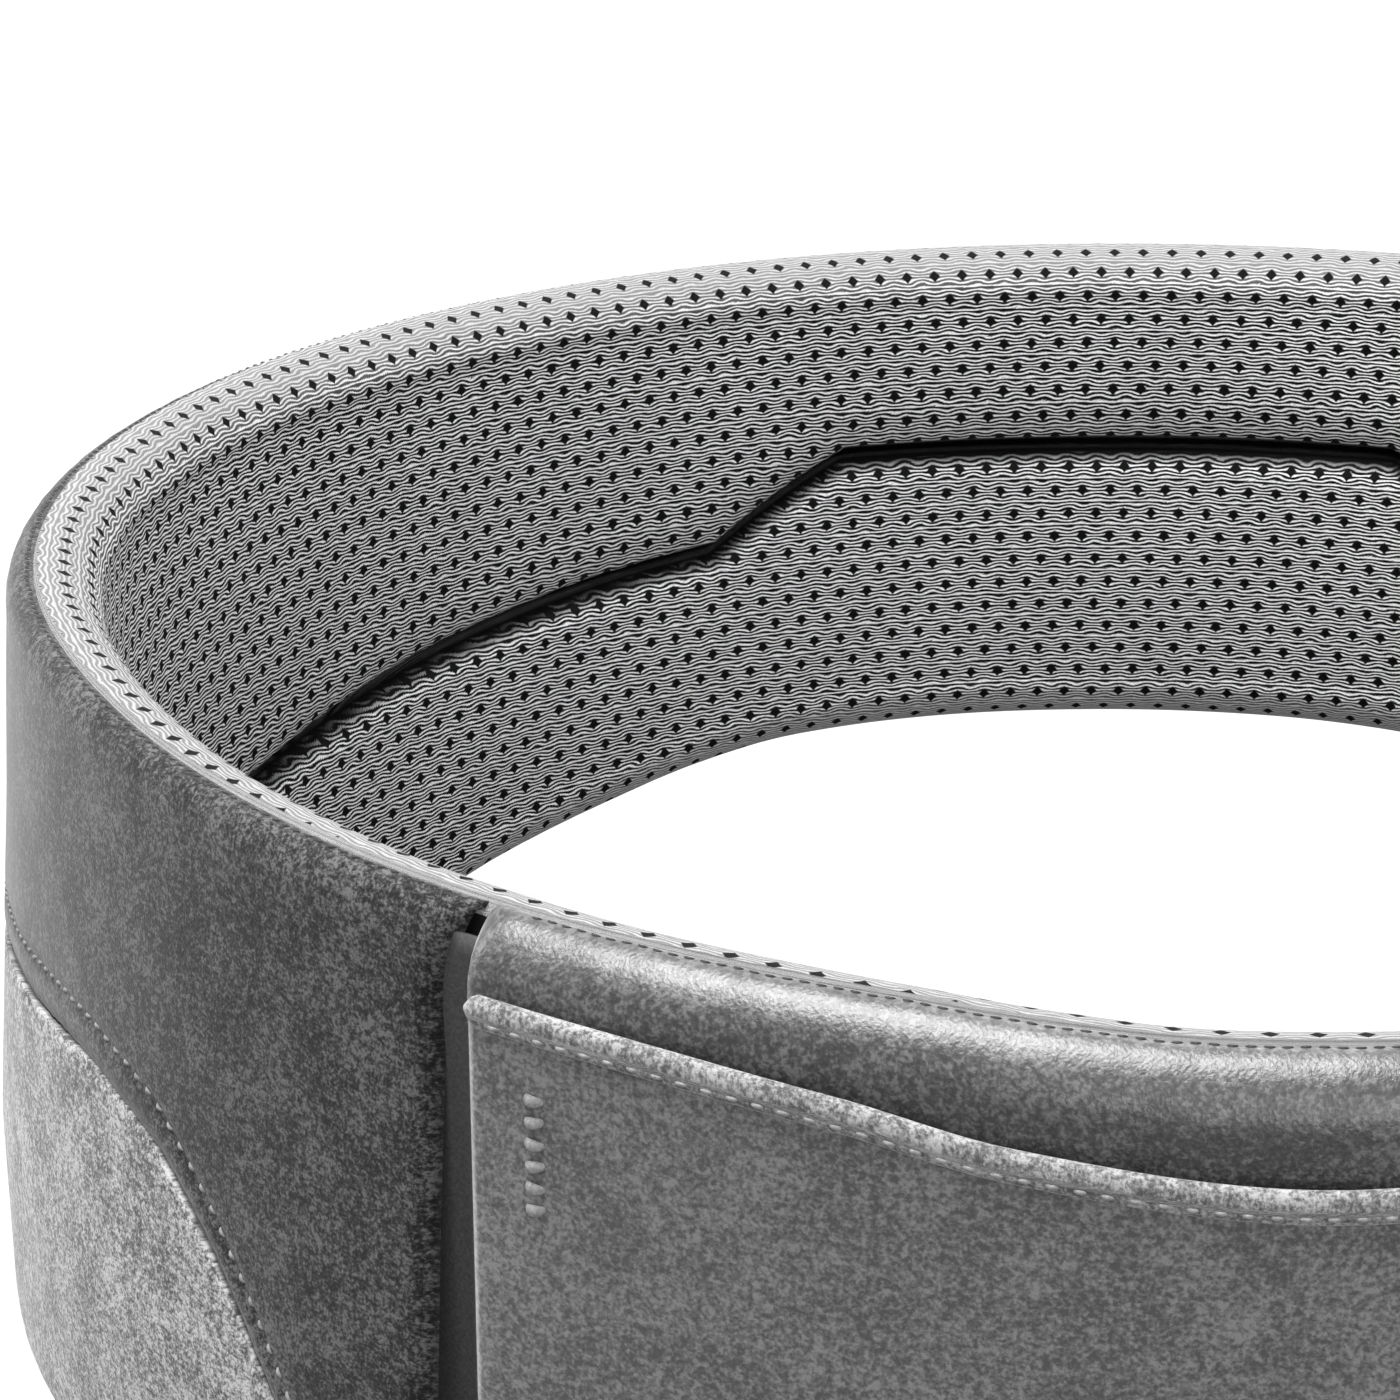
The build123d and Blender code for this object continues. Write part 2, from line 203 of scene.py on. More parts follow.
# ---------------------------------------------------------------- pillows of 3-D mesh
def pillow_profile(angle, v, low, high, rolled_top):
    """Radius and height of a pillow's face at flat height v, which runs over the rolled rim."""
    edge = high if rolled_top else low
    toward = 1.0 if rolled_top else -1.0
    flat_end = edge - toward * RIM
    turn = np.clip(toward * (v - flat_end) / RIM, 0, math.pi / 2)
    radius = WAIST + (SEAM - WAIST) * (1 - np.cos(turn))
    height = np.where(turn > 0, flat_end + toward * RIM * np.sin(turn), v)
    groove = low if rolled_top else high
    depth = toward * (v - groove)  # distance from the groove
    width, deep = UPPER_GROOVE if rolled_top else LOWER_GROOVE
    inside = np.clip(1 - depth / width, 0, 1)
    radius = radius + deep * (1 - np.sqrt(1 - inside**2))
    if rolled_top:
        height = height - OVERHANG * ramp(depth, 0.0, 1.6) * (1 - ramp(depth, 3.0, 12.0))
    span = np.maximum(high - low, 1.0)
    crown = 1 - (2 * (v - low) / span - 1) ** 2
    radius = radius + CROWN * (1 - np.clip(crown, 0, 1)) * (turn <= 0) * np.clip(1 - inside, 0, 1)
    radius = radius + PILLOW_SWELL * ripple(angle, v, 1.0 if rolled_top else 4.0) * np.cos(turn)
    return radius, height


def build_pillow(name, rolled_top):
    """A closed pillow whose face carries the lattice of holes; rows lie level, columns stand up."""
    start, end = RIGHT_MOUTH + 1.1, RIGHT_MOUTH + 360 - 1.1
    step = PITCH / ALONG / WAIST * 180 / math.pi
    first = math.ceil((start - 90 - HOLE_COLUMN) / step)
    last = math.floor((end - 90 - HOLE_COLUMN) / step)
    numbers = np.arange(first, last + 1)
    columns = 90 + HOLE_COLUMN + numbers * step
    row_zero = UPPER_ROW if rolled_top else LOWER_ROW
    y = side_y(columns)
    groove = groove_at(y)
    if rolled_top:
        low = groove + 0.3
        edge = top_at(y)
        high = edge - RIM + RIM * math.pi / 2
    else:
        high = groove - 1.8
        edge = bottom_at(y)
        low = edge + RIM - RIM * math.pi / 2
    lowest = math.floor((low.min() - row_zero) / ROW * ACROSS)
    highest = math.ceil((high.max() - row_zero) / ROW * ACROSS)
    rows = np.arange(lowest, highest + 1)
    nominal = row_zero + rows * ROW / ACROSS
    v = np.clip(nominal[None, :], low[:, None], high[:, None])
    a = across_rows(columns, len(rows))
    low2, high2 = np.broadcast_to(low[:, None], v.shape), np.broadcast_to(high[:, None], v.shape)
    rim_edge = np.broadcast_to(edge[:, None], v.shape)
    if rolled_top:
        radius, height = pillow_profile(a, v, low2, rim_edge, True)
    else:
        radius, height = pillow_profile(a, v, rim_edge, high2, False)
    points = ring_points(a, radius, height)
    # holes, pushed in along the face's normal, none of them close to the groove or to the crest
    hole_row = rows % ACROSS == 0
    odd = (rows // ACROSS) % 2 == 1
    shifted = (numbers[:, None] - np.where(odd, ALONG // 2, 0)[None, :]) % ALONG == 0
    if rolled_top:
        from_crest = 4.0 + 5.0 * (1 - ramp(y, -110, -40))[:, None]
        clear = (v - low2 > 2.6) & (high2 - v > from_crest)
    else:
        clear = (v - low2 > 4.0) & (high2 - v > 1.6)
    pit = shifted & hole_row[None, :] & clear
    du = np.gradient(points, axis=0)
    dv = np.gradient(points, axis=1)
    normal = np.cross(du, dv)
    normal /= np.maximum(np.linalg.norm(normal, axis=2, keepdims=True), 1e-12)
    points = points - normal * (pit * PIT * MM)[..., None] * inward_sign(points, normal)[..., None]
    # collapsed rows share one vertex with the row at the limit
    index = np.arange(v.size).reshape(v.shape)
    for j in range(1, len(rows)):
        same = np.isclose(v[:, j], v[:, j - 1])
        index[same, j] = index[same, j - 1]
    # painted shade: the lattice's third number is 1 on the groove's floor and fades out 2.4 mm from it; the
    # mesh is painted near black there
    from_groove = v - low2 if rolled_top else high2 - v
    groove_shade = 1 - ramp(from_groove, 0.2, 2.4)
    lattice = np.stack([across_rows(numbers / ALONG, len(rows)), (v - row_zero) / ROW, groove_shade], -1)
    # painted highlight: rim is 1 on the crest by the seam and fades out 4 to 13 mm from it; the mesh is
    # painted a plain lighter grey there
    to_seam = high2 - v if rolled_top else v - low2
    rim = np.stack([1 - ramp(to_seam, 4.0, 13.0), 0 * v, 0 * v], -1)
    faces = []
    i, j = np.meshgrid(np.arange(len(columns) - 1), np.arange(len(rows) - 1), indexing="ij")
    i, j = i.ravel(), j.ravel()
    slanted = pit[i, j] | pit[i + 1, j + 1]
    p, q, r, s = index[i, j], index[i + 1, j], index[i + 1, j + 1], index[i, j + 1]
    for cut, p1, q1, r1, s1 in zip(slanted.tolist(), p.tolist(), q.tolist(), r.tolist(), s.tolist()):
        pair = ((p1, q1, s1), (q1, r1, s1)) if cut else ((p1, q1, r1), (p1, r1, s1))
        for face in pair:
            if face[0] != face[1] and face[1] != face[2] and face[0] != face[2]:
                faces.append(face)
    face_count = len(faces)
    # hidden back wall, from the crest to the groove
    crest, deep = (index[:, -1], index[:, 0]) if rolled_top else (index[:, 0], index[:, -1])
    inset = [(SEAM + 1.2, 2.0), (PILLOW_BACK, 6.0), (PILLOW_BACK, 14.0)]
    sign = -1.0 if rolled_top else 1.0
    groove_level = groove + (1.5 if rolled_top else -1.5)
    backs = [crest]
    extra = []
    count = v.size
    for back_radius, drop in inset:
        level = edge + sign * drop
        level = np.maximum(level, groove_level) if rolled_top else np.minimum(level, groove_level)
        extra.append(ring_points(columns, back_radius + 0 * columns, level))
        backs.append(np.arange(count, count + len(columns)))
        count += len(columns)
    extra.append(ring_points(columns, PILLOW_BACK + 0 * columns, groove_level))
    backs.append(np.arange(count, count + len(columns)))
    backs.append(deep)
    wall = np.stack(backs, 1)
    faces += grid_faces(wall, flip=not rolled_top)
    # a flat cap at each end of the pillow
    for end_i in (0, -1):
        column = index[end_i].tolist()
        loop = [x for k, x in enumerate(column) if k == 0 or x != column[k - 1]]
        outline = loop if rolled_top else loop[::-1]
        outline += [b[end_i] for b in backs[1:-1]]
        faces.append([int(x) for x in (outline if end_i == 0 else outline[::-1])])
    all_points = np.concatenate([points.reshape(-1, 3), *extra])
    flat = np.concatenate([lattice.reshape(-1, 3), np.zeros((len(all_points) - v.size, 3))])
    rim = np.concatenate([rim.reshape(-1, 3), np.zeros((len(all_points) - v.size, 3))])
    used = np.unique(np.concatenate([np.asarray(f) for f in faces]))
    renumber = np.full(len(all_points), -1)
    renumber[used] = np.arange(len(used))
    faces = [[int(renumber[x]) for x in f] for f in faces]
    kind = np.zeros(len(faces), int)
    kind[face_count:] = 1
    attributes = [("lattice", flat[used]), ("rim", rim[used])]
    return make_object(name, all_points[used].tolist(), faces, attributes, kind)


def inward_sign(points, normal):
    """-1 or 1, so that the holes go into the padding and not out of it."""
    outward = points * [1, 1, 0]
    into = outward / np.maximum(np.linalg.norm(outward, axis=2, keepdims=True), 1e-9)
    towards = into - np.array([0, 0, 0.25])
    return np.where((normal * towards).sum(2) > 0, -1.0, 1.0)


# ---------------------------------------------------------------- the shell's outer surface
def shell_profile(angle, s, outer, roll, lift=0.0, flare=FLARE):
    """Radius, height and run of the shell; s goes from 0 at the upper crest seam to 1 at the lower one."""
    y = side_y(angle)
    top, low = top_at(y) + lift, bottom_at(y)
    arc = roll * EDGE_RUN
    wall = np.maximum(top - low - 2 * roll, 1.0)
    run = s * (2 * arc + wall)
    turn_top = np.clip(run / arc, 0, 1) * math.pi / 2
    turn_low = np.clip((run - arc - wall) / arc, 0, 1) * math.pi / 2
    height = np.where(
        run < arc, top - roll * (1 - np.cos(turn_top)),
        np.where(run < arc + wall, top - roll - (run - arc), low + roll - roll * np.sin(turn_low)),
    )
    reach = outer + flare * (1 - 2 * np.clip((height - 30) / 70, 0, 1)) - SEAM
    radius = SEAM + reach * np.sin(turn_top) - reach * (1 - np.cos(turn_low))
    return radius, height, run


def seam_dip(distance, depth=0.8, width=2.4):
    """How far cloth sinks towards a seam at that distance from it, in mm."""
    return depth * np.exp(-((np.abs(distance) / width) ** 2))


# ---------------------------------------------------------------- accent line over each hip
accent_at = smooth_curve(
    [(-135, -5), (-120, 30), (-108, 49), (-98, 57), (-82, 60.4), (-60, 59), (0, 52), (60, 40), (104, -5)]
)


def accent_share(angle, outer, roll):
    """Share s of the shell profile where the accent panel starts, 1 where there is none."""
    share = np.linspace(0, 1, 400)
    result = np.ones(len(angle))
    for i, a in enumerate(angle):
        if not -134 < side_y(a, outer) < 103:
            continue
        _, height, _ = shell_profile(np.full(400, a), share, outer, roll)
        below = height < accent_at(side_y(a, outer))
        if below.any():
            result[i] = share[np.argmax(below)]
    return result


STITCH_ABOVE = 5.8  # top-stitch above an accent panel
GRIDS = {}  # points and step lengths of each shell panel, for the stitching on it


def shell_piece(name, start, end, outer, roll, share_from, share_to, rows, seams,
                lift=0.0, bulge=0.6, seed=1.0, flare=FLARE, lean=None, pucker=0.16, pressed=None):
    """A shell panel between two angles and two shares of the profile.

    seams gives the depth and width of the dip at each sewn edge. lean slants an end near the rim: degrees,
    reach in mm, and which end. pressed says where something lies on the panel and flattens it.
    """
    columns = np.linspace(start, end, max(int((end - start) / 0.4), 8))
    first = share_from(columns) if callable(share_from) else np.full(len(columns), float(share_from))
    last = share_to(columns) if callable(share_to) else np.full(len(columns), float(share_to))
    keep = last - first > 1e-4
    lo, hi = max(np.argmax(keep) - 1, 0), min(len(keep) - np.argmax(keep[::-1]), len(keep) - 1)
    columns, first, last = columns[lo:hi + 1], first[lo:hi + 1], last[lo:hi + 1]
    t = np.linspace(0, 1, rows)[None, :]
    s = first[:, None] + (last - first)[:, None] * t
    a = across_rows(columns, rows)
    radius, height, run = shell_profile(a, s, outer, roll, lift, flare)
    total = 2 * roll * EDGE_RUN + np.maximum(top_at(side_y(a)) + lift - bottom_at(side_y(a)) - 2 * roll, 1)
    radius = radius + bulge * (1 - (2 * s - 1) ** 4) * 0.5 - 0.2
    radius = radius + SHELL_SWELL * ripple(a, height, seed) * np.sin(s * math.pi)
    crest = np.minimum(run, total - run)
    height = height - seam_dip(run, 0.9, 1.6) + seam_dip(total - run, 0.9, 1.6)
    radius = radius + puckers(a, np.exp(-crest / 4.0) * ramp(crest, 0, 1.5), seed) * pucker
    for seam, (depth, width) in seams.items():
        if seam in ("start", "end"):
            distance = arc_length(a - columns[0] if seam == "start" else columns[-1] - a, outer)
            radius = radius - seam_dip(distance, depth, width) * ramp(crest, 0, 7)
            continue
        if seam == "low":
            distance = (last[:, None] - s) * total
        elif seam == "stitched":
            distance = (last[:, None] - s) * total - STITCH_ABOVE
        else:
            distance = (s - first[:, None]) * total
        radius = radius - seam_dip(distance, depth, width)
    if pressed is not None:
        radius = radius + pressed(a, height) * (np.minimum(radius, PRESSED_TO) - radius)
    if lean:
        degrees, reach, at = lean
        if at == "end":
            near = ramp(a, columns[-1] - 5, columns[-1])
        else:
            near = 1 - ramp(a, columns[0], columns[0] + 5)
        a = a + degrees * near * np.exp(-((run / reach) ** 2))
    GRIDS[name] = (ring_points(a, radius, height), (last - first)[:, None] * total[:, :1] / (rows - 1))
    return surface(name, a, radius, height, (arc_length(a, outer), run), flip=True)


# ---------------------------------------------------------------- materials
class Shader:
    """A short way to write a material's nodes: numbers, vectors and links all go in as plain arguments."""

    def __init__(self, name):
        self.material = bpy.data.materials.new(name)
        self.material.use_nodes = True
        self.tree = self.material.node_tree
        self.tree.nodes.clear()
        self.output = self.tree.nodes.new("ShaderNodeOutputMaterial")
        self.surface = self.tree.nodes.new("ShaderNodeBsdfPrincipled")
        self.tree.links.new(self.surface.outputs[0], self.output.inputs[0])

    def put(self, socket, value):
        if isinstance(value, bpy.types.NodeSocket):
            self.tree.links.new(value, socket)
        else:
            socket.default_value = value

    def math(self, operation, a, b=0.0, c=0.0):
        node = self.tree.nodes.new("ShaderNodeMath")
        node.operation = operation
        for socket, value in zip(node.inputs, (a, b, c)):
            self.put(socket, value)
        return node.outputs[0]

    def attribute(self, name):
        node = self.tree.nodes.new("ShaderNodeAttribute")
        node.attribute_name = name
        split = self.tree.nodes.new("ShaderNodeSeparateXYZ")
        self.tree.links.new(node.outputs["Vector"], split.inputs[0])
        return split.outputs[0], split.outputs[1], split.outputs[2]

    def position(self):
        """The point's place on the CAD frame, in millimetres."""
        node = self.tree.nodes.new("ShaderNodeTexCoord")
        scaled = self.tree.nodes.new("ShaderNodeVectorMath")
        scaled.operation = "SCALE"
        scaled.inputs["Scale"].default_value = 1 / MM
        self.tree.links.new(node.outputs["Object"], scaled.inputs[0])
        split = self.tree.nodes.new("ShaderNodeSeparateXYZ")
        self.tree.links.new(scaled.outputs[0], split.inputs[0])
        return split.outputs[0], split.outputs[1], split.outputs[2]

    def vector(self, x, y, z=0.0):
        node = self.tree.nodes.new("ShaderNodeCombineXYZ")
        for socket, value in zip(node.inputs, (x, y, z)):
            self.put(socket, value)
        return node.outputs[0]

    def noise(self, vector, scale, detail=2.0, roughness=0.5):
        node = self.tree.nodes.new("ShaderNodeTexNoise")
        self.put(node.inputs["Vector"], vector)
        node.inputs["Scale"].default_value = scale
        node.inputs["Detail"].default_value = detail
        node.inputs["Roughness"].default_value = roughness
        return node.outputs["Fac"]

    def ramp(self, value, *stops):
        """Greys at the given places along a ramp: (place, grey) pairs."""
        node = self.tree.nodes.new("ShaderNodeValToRGB")
        self.put(node.inputs[0], value)
        elements = node.color_ramp.elements
        while len(elements) < len(stops):
            elements.new(0.5)
        for element, (place, grey) in zip(elements, stops):
            element.position = place
            element.color = (grey, grey, grey, 1)
        return node.outputs["Color"]

    def mix(self, share, a, b):
        node = self.tree.nodes.new("ShaderNodeMix")
        node.data_type = "RGBA"
        for key, value in (("Factor", share), ("A", a), ("B", b)):
            socket = [s for s in node.inputs if s.name == key and s.enabled][0]
            if isinstance(value, float) and key != "Factor":
                value = (value, value, value, 1)
            self.put(socket, value)
        return [s for s in node.outputs if s.enabled][0]

    def bump(self, height, strength, distance):
        node = self.tree.nodes.new("ShaderNodeBump")
        node.inputs["Strength"].default_value = strength
        node.inputs["Distance"].default_value = distance * MM
        self.put(node.inputs["Height"], height)
        self.put(self.surface.inputs["Normal"], node.outputs[0])

    def finish(self, colour, roughness=0.85, sheen=0.0, specular=0.3):
        self.put(self.surface.inputs["Base Color"], colour)
        self.put(self.surface.inputs["Roughness"], roughness)
        self.surface.inputs["Sheen Weight"].default_value = sheen
        self.surface.inputs["Sheen Roughness"].default_value = 0.4
        self.surface.inputs["Specular IOR Level"].default_value = specular
        return self.material


def mesh_material():
    """Spacer mesh: wavy knit lines that part round diamond holes, with painted shade in the holes and in
    the groove and a painted highlight by the crest seam.
    """
    s = Shader("spacer_mesh")
    # groove is the painted-shade share along the groove between the pillows
    u, v, groove = s.attribute("lattice")
    row = s.math("ROUND", v)
    half = s.math("MULTIPLY", s.math("FLOORED_MODULO", row, 2.0), 0.5)
    shifted = s.math("SUBTRACT", u, half)
    du = s.math("SUBTRACT", shifted, s.math("ROUND", shifted))
    dv = s.math("SUBTRACT", v, row)
    diamond = s.math("ADD", s.math("MULTIPLY", s.math("ABSOLUTE", du), PITCH / 0.98),
                     s.math("MULTIPLY", s.math("ABSOLUTE", dv), ROW / 1.06))
    wobble = s.noise(s.vector(u, v), 2.3, 3.0)
    edge = s.math("ADD", diamond, s.math("MULTIPLY", s.math("SUBTRACT", wobble, 0.5), 0.25))
    hole = s.math("SMOOTH_MIN", s.math("MAXIMUM", s.math("MULTIPLY_ADD", edge, -7.0, 7.5), 0.0), 1.0, 0.1)
    # knit lines, bent away from the holes
    bend = s.math("MULTIPLY", s.math("SINE", s.math("MULTIPLY", dv, 2 * math.pi)),
                  s.math("COSINE", s.math("MULTIPLY", du, 2 * math.pi)))
    drift = s.noise(s.vector(u, s.math("MULTIPLY", v, 2.0)), 1.1, 2.0)
    line_at = s.math("ADD", v, s.math("ADD", s.math("MULTIPLY", bend, -0.06),
                                      s.math("MULTIPLY", s.math("SUBTRACT", drift, 0.5), 0.2)))
    line = s.math("MULTIPLY_ADD", s.math("SINE", s.math("MULTIPLY", line_at, 2 * math.pi * 6)), 0.5, 0.5)
    slanted = s.math("ADD", u, s.math("MULTIPLY", line_at, 3.0))
    loops = s.math("SINE", s.math("MULTIPLY", slanted, 2 * math.pi * 9))
    fuzz = s.noise(s.vector(s.math("MULTIPLY", u, 3.0), s.math("MULTIPLY", v, 6.0)), 3.0, 3.0, 0.7)
    thread = s.math("ADD", s.math("ADD", line, s.math("MULTIPLY", loops, 0.24)),
                    s.math("MULTIPLY", s.math("SUBTRACT", fuzz, 0.5), 1.1))
    yarn = s.ramp(thread, (0.25, 0.002), (0.50, 0.034), (0.80, 0.92))
    # painted highlight: near the crest seam the knit is mixed towards a plain lighter grey, as on a lit rim
    rim, _, _ = s.attribute("rim")
    yarn = s.mix(s.math("MULTIPLY", rim, 0.75), yarn, 0.25)
    # painted shade: near black in the holes and along the groove, where the padding shades them
    colour = s.mix(s.math("MAXIMUM", hole, groove), yarn, 0.006)
    height = s.math("SUBTRACT", s.math("MULTIPLY", thread, 0.3), hole)
    s.bump(height, 0.5, 0.35)
    return s.finish(colour, 0.8, 0.0, 0.12)


def heather_material(name, dark, middle, light, scale=1.0, sheen=0.35, specular=0.2, roughness=0.9):
    """Heather cloth: a fine plain weave of mixed dark and pale yarns."""
    s = Shader(name)
    u, v, _ = s.attribute("cloth")
    streak_u = s.noise(s.vector(s.math("MULTIPLY", u, 0.62), v), 1.25 / scale, 2.0, 0.6)
    streak_v = s.noise(s.vector(u, s.math("MULTIPLY", v, 0.66), 7.0), 1.2 / scale, 2.0, 0.6)
    speck = s.noise(s.vector(u, v, 3.0), 2.3 / scale, 2.0, 0.7)
    cloud = s.noise(s.vector(u, v, 11.0), 0.12, 2.0, 0.5)
    weave = s.math("MULTIPLY", s.math("SINE", s.math("MULTIPLY", u, 2 * math.pi / 0.9)),
                   s.math("SINE", s.math("MULTIPLY", v, 2 * math.pi / 0.8)))
    blend = s.math("MULTIPLY_ADD", streak_u, 0.7, s.math("MULTIPLY_ADD", streak_v, 0.7, -0.2))
    blend = s.math("ADD", blend, s.math("MULTIPLY", s.math("SUBTRACT", speck, 0.5), 1.05))
    blend = s.math("ADD", blend, s.math("MULTIPLY", s.math("SUBTRACT", cloud, 0.5), 0.4))
    blend = s.math("ADD", blend, s.math("MULTIPLY", weave, 0.02))
    colour = s.ramp(blend, (0.32, dark), (0.5, middle), (0.70, light))
    s.bump(s.math("ADD", s.math("MULTIPLY", weave, 0.05), speck), 0.5, 0.18)
    return s.finish(colour, roughness, sheen, specular)


def plain_material(name, grey, weave=0.5, roughness=0.85, specular=0.3, sheen=0.0):
    """Thread, tape or inner cloth: a plain grey with fine noise."""
    s = Shader(name)
    x, y, z = s.position()
    grain = s.noise(s.vector(x, y, z), 2.2, 3.0, 0.6)
    colour = s.ramp(grain, (0.3, grey * 0.7), (0.7, grey * 1.3))
    s.bump(grain, weave, 0.12)
    return s.finish(colour, roughness, sheen, specular)


def webbing_material():
    """Flat webbing: fine ribs along it, crossed by the weft."""
    s = Shader("webbing")
    x, y, z = s.position()
    along = s.math("MULTIPLY", s.math("ARCTAN2", y, x), 167.0)
    ribs = s.math("SINE", s.math("MULTIPLY", z, 2 * math.pi / 1.25))
    weft = s.math("SINE", s.math("ADD", s.math("MULTIPLY", along, 2 * math.pi / 1.1),
                                s.math("MULTIPLY", s.math("SIGN", ribs), math.pi / 2)))
    fuzz = s.noise(s.vector(x, y, z), 2.0, 3.0, 0.6)
    weave = s.math("ADD", s.math("MULTIPLY", ribs, 0.6), s.math("MULTIPLY", weft, 0.4))
    colour = s.ramp(s.math("ADD", s.math("MULTIPLY", weave, 0.25), fuzz), (0.25, 0.025), (0.8, 0.085))
    s.bump(weave, 0.7, 0.25)
    return s.finish(colour, 0.75, 0.1, 0.35)


def moulded_material():
    """Moulded acetal: satin black with a fine spark-eroded grain."""
    s = Shader("moulded")
    x, y, z = s.position()
    grain = s.noise(s.vector(x, y, z), 4.5, 2.0, 0.5)
    wear = s.noise(s.vector(x, y, z), 0.25, 3.0, 0.6)
    colour = s.ramp(wear, (0.35, 0.018), (0.7, 0.032))
    rough = s.math("MULTIPLY_ADD", grain, 0.2, 0.35)
    s.bump(grain, 0.25, 0.05)
    return s.finish(colour, rough, 0.0, 0.45)


MESH = mesh_material()
HEATHER = heather_material("heather_dark", 0.009, 0.038, 0.13)
FRONT_HEATHER = heather_material("heather_front", 0.016, 0.043, 0.12, 1.2, 0.7, 1.0, 0.38)
POCKET = heather_material("heather_pocket", 0.095, 0.155, 0.25, 1.2)
ACCENT = heather_material("heather_light", 0.07, 0.25, 0.56)
# painted highlight: the hem is painted lighter than the pocket's cloth it is folded from, for the light on
# its rolled top
HEM = heather_material("heather_hem", 0.10, 0.22, 0.42)
THREAD_LIGHT = plain_material("thread_light", 0.30, 0.3, 0.6)
THREAD_DARK = plain_material("thread_dark", 0.045, 0.3, 0.6)
INNER = plain_material("inner_cloth", 0.07)
TAPE = plain_material("binding_tape", 0.06, 0.8)
WEBBING = webbing_material()
MOULDED = moulded_material()


def dress(piece, slot, *materials, body="belt", stands_for=()):
    """Materials, body and the CAD nodes that a piece stands for; the slot argument is not used."""
    piece.data.materials.clear()
    for material in materials:
        piece.data.materials.append(material)
    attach(piece, body)
    if stands_for:
        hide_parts(*stands_for)
    return piece


# ---------------------------------------------------------------- pillows
upper = build_pillow("mesh_pillow_upper", True)
dress(upper, "mesh", MESH, INNER, stands_for=("lining_upper", "foam_upper"))
lower = build_pillow("mesh_pillow_lower", False)
dress(lower, "mesh", MESH, INNER, stands_for=("lining_lower", "foam_lower"))

# ---------------------------------------------------------------- shell, wings and accents
SHELL_ROLL = 5.0
back = shell_piece("back_shell", BACK_START, BACK_END, OUTER, SHELL_ROLL, 0, 1, 70,
                   {"start": (1.0, 1.6), "end": (1.0, 1.6)}, seed=2.0)
dress(thicken(back, CLOTH), "heather_dark", HEATHER, stands_for=("shell_back",))

WINGS = {"left": (BACK_END, LEFT_MOUTH - 0.8), "right": (RIGHT_MOUTH + 1.3 - 360, BACK_START)}
PRESSED_TO = 164.9  # radius of the cloth where the webbing lies on it
STRAP_LOW, STRAP_HIGH = [corner.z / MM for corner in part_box("webbing_rear")]
ANCHOR_END = math.degrees(math.atan2(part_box("anchor_patch")[1].y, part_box("anchor_patch")[1].x))


def under_webbing(angle, height):
    """1 where the webbing presses the right wing and its end, 0 away from it; angles count from -180."""
    above_low = ramp(height, STRAP_LOW - 7, STRAP_LOW - 1.5)
    below_high = 1 - ramp(height, STRAP_HIGH + 1.5, STRAP_HIGH + 7)
    return above_low * below_high * (1 - ramp(angle, ANCHOR_END, ANCHOR_END + 3))


def accent_line(angle):
    """Share of the wing's profile at the accent's upper edge."""
    return accent_share(np.asarray(angle), OUTER, SHELL_ROLL)


for side, (start, end) in WINGS.items():
    mouth = "end" if side == "left" else "start"
    seam = "start" if side == "left" else "end"
    lean = (1.65, 8.2, "end") if side == "left" else None
    pressed = under_webbing if side == "right" else None
    wing = shell_piece(f"{side}_wing", start, end, OUTER, SHELL_ROLL, 0, accent_line, 60,
                       {seam: (1.0, 1.6), mouth: (2.2, 1.1), "low": (0.7, 1.4), "stitched": (0.4, 0.9)},
                       seed=3.0, lean=lean, pressed=pressed)
    dress(thicken(wing, CLOTH), "heather_dark", HEATHER, stands_for=(f"shell_{side}",))
    accent = shell_piece(f"{side}_accent", start, end, OUTER, SHELL_ROLL, accent_line, 1, 46,
                         {"high": (0.35, 1.0)}, bulge=0.9, seed=5.0, pressed=pressed)
    dress(thicken(accent, CLOTH), "heather_light", ACCENT, stands_for=(f"accent_{side}",))

# ---------------------------------------------------------------- puffy front
FRONT_OUT = OUTER + 1.4
FRONT_ROLL = 8.0
front = shell_piece("front_cover", LEFT_MOUTH + 0.85, RIGHT_MOUTH - 1.3, FRONT_OUT, FRONT_ROLL, 0, 1, 110,
                    {"start": (4.0, 1.4), "end": (5.0, 2.6)}, lift=0.2, bulge=0.4, seed=7.0, flare=0.0,
                    lean=(0.9, 4.5, "start"), pucker=0.3)
dress(thicken(front, CLOTH), "heather_dark", FRONT_HEATHER, stands_for=("front_cover", "front_foam"))


def mouth_lining():
    """Inner cloth behind the step where the front meets the left wing."""
    columns = np.linspace(LEFT_MOUTH - 4, LEFT_MOUTH + 4, 24)
    t = np.linspace(0, 1, 40)[None, :]
    a = across_rows(columns, 40)
    low, high = bottom_at(side_y(columns))[:, None] + 3.0, top_at(side_y(columns))[:, None] - 4.0
    height = low + (high - low) * t
    radius = PILLOW_BACK + 1.2 + 0.2 * ripple(a, height, 2.0)
    return surface("mouth_lining", a, radius, height, (arc_length(a, OUTER), height))


dress(thicken(mouth_lining(), 0.7), "heather_dark", INNER)

# ---------------------------------------------------------------- pocket
POCKET_HALF = 32.25  # half the pocket's width, in degrees
POCKET_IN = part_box("pocket_panel")[0].y / -MM - 1.0  # radius of its inner face
STAND_OFF = 0.9  # from that radius to the face of the cloth
POCKET_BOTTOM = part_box("pocket_panel")[0].z / MM
mouth_at = smooth_curve([(0, 84.6), (32, 87.6), (50, 91.2), (77, 94.2), (105, 95.4)])


def pocket_mouth(angle):
    """Height of the pocket's upper edge."""
    return mouth_at(np.abs(POCKET_IN * np.cos(np.radians(angle))))


def from_pocket_side(angle):
    """Distance in mm from the nearer side of the pocket."""
    return arc_length(POCKET_HALF - np.abs(angle - FRONT), POCKET_IN)


